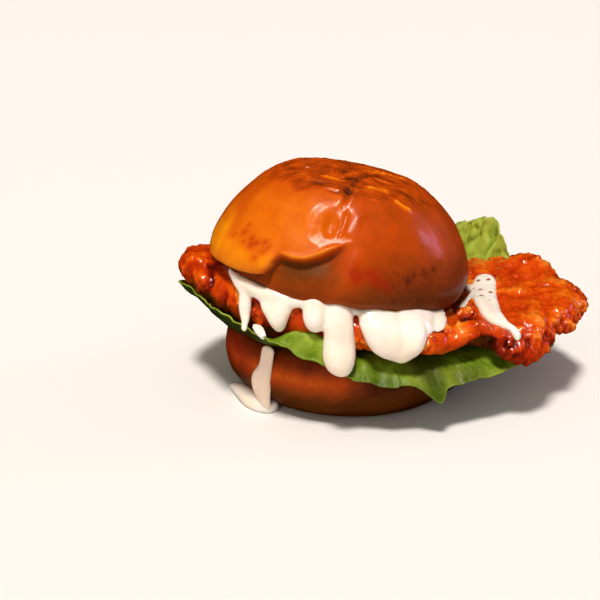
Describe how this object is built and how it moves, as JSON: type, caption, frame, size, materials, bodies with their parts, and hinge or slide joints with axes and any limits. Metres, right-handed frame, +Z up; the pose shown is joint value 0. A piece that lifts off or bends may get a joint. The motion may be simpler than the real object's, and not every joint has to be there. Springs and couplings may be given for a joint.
{
  "type": "chicken burger",
  "caption": "Burger with a glossy domed bun over a long sauced fried chicken fillet that reaches out at one side, with white sauce running down and lettuce.",
  "frame": {"origin": "middle of the heel's flat foot, on the surface it rests on", "axes": "+Z up; the front, where the white sauce runs down, faces -Y; +X along the fillet towards the end that reaches out beside the bun"},
  "size_m": [0.1723, 0.1206, 0.0925],
  "materials": {
    "bun": "egg-washed bread crust, browned, satin to glossy",
    "lettuce": "fresh leaf, moist, satin",
    "fried_chicken": "craggy fried crust coated in wet orange-red hot sauce",
    "white_sauce": "thick creamy dressing, glossy"
  },
  "bodies": {
    "root": {"heel": "bun", "lettuce_front": "lettuce", "lettuce_back": "lettuce", "fillet": "fried_chicken", "white_sauce": "white_sauce", "sauce_patch": "white_sauce", "crown": "bun"}
  },
  "joints": []
}
